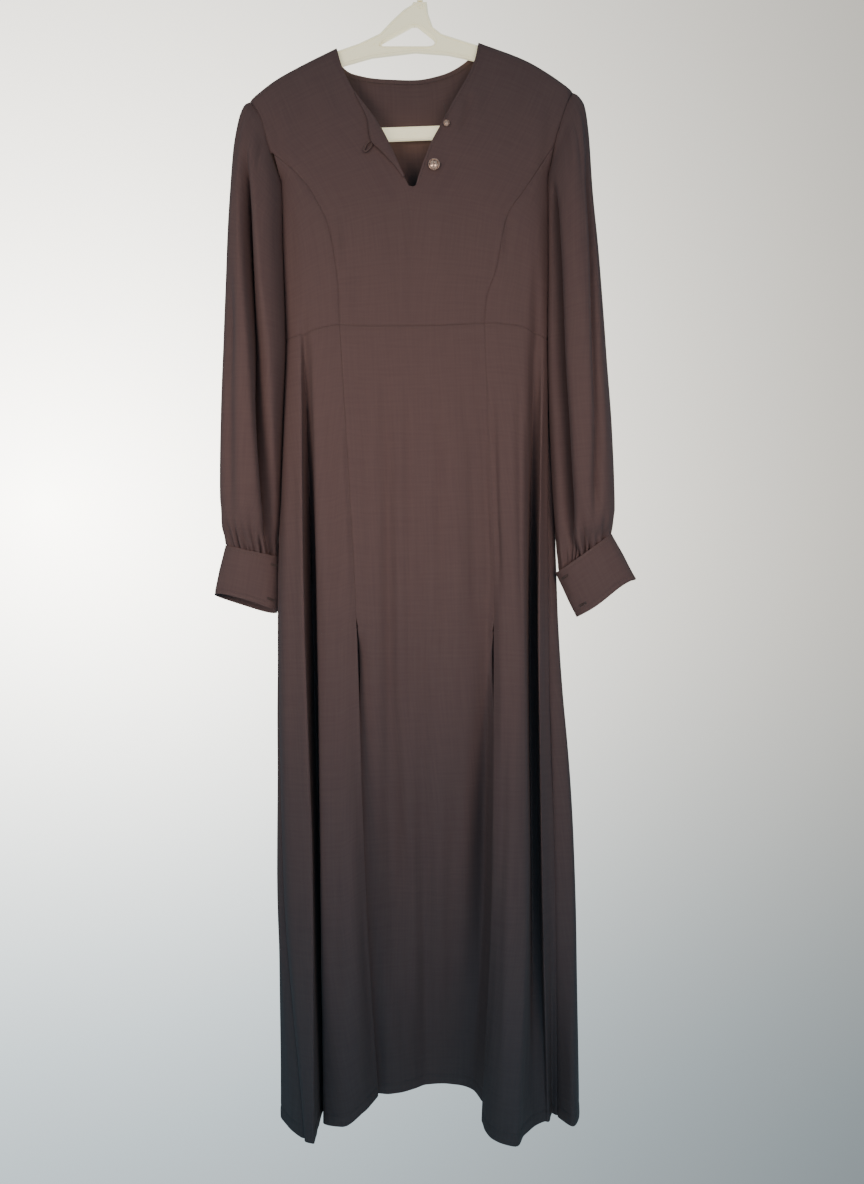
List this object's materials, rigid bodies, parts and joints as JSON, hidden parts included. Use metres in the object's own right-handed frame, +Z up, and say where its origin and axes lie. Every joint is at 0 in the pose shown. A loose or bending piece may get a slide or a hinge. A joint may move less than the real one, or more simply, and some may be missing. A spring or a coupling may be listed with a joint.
{
  "type": "jilbab dress on a clothes hanger",
  "caption": "Long-sleeved maxi jilbab with open V neck, deep front pleats and gathered, buttoned cuffs, hanging rigid on a moulded clothes hanger.",
  "frame": {"origin": "inside top of the hanger's hook, where the rail bears", "axes": "+Z up; -Y is the front of the dress; +X is the viewer's right when looking at the front"},
  "size_m": [0.5287, 0.1832, 1.4746],
  "materials": {
    "dress_fabric": "dark brown crepe, plain weave, matte with a faint sheen",
    "button_plastic": "champagne brown, polished",
    "hanger_plastic": "cream, moulded, satin"
  },
  "bodies": {
    "root": {"bodice_back": "dress_fabric", "bodice_front_centre": "dress_fabric", "bodice_side_front_left": "dress_fabric", "bodice_side_front_right": "dress_fabric", "front_facing_turned_back": "dress_fabric", "skirt_front_centre": "dress_fabric", "skirt_side_front_left": "dress_fabric", "skirt_side_front_right": "dress_fabric", "skirt_back": "dress_fabric", "pleat_underlay_left": "dress_fabric", "pleat_underlay_right": "dress_fabric", "sleeve_left_upper": "dress_fabric", "sleeve_left_middle": "dress_fabric", "sleeve_left_lower": "dress_fabric", "sleeve_right_upper": "dress_fabric", "sleeve_right_middle": "dress_fabric", "sleeve_right_lower": "dress_fabric", "cuff_left": "dress_fabric", "cuff_right": "dress_fabric", "button_loop": "dress_fabric", "cuff_button_left_1": "button_plastic", "cuff_button_left_2": "button_plastic", "cuff_button_right_1": "button_plastic", "cuff_button_right_2": "button_plastic", "neck_button": "button_plastic", "top_button": "button_plastic", "hanger_frame": "hanger_plastic", "hanger_bar": "hanger_plastic", "hanger_hook": "hanger_plastic"}
  },
  "joints": []
}
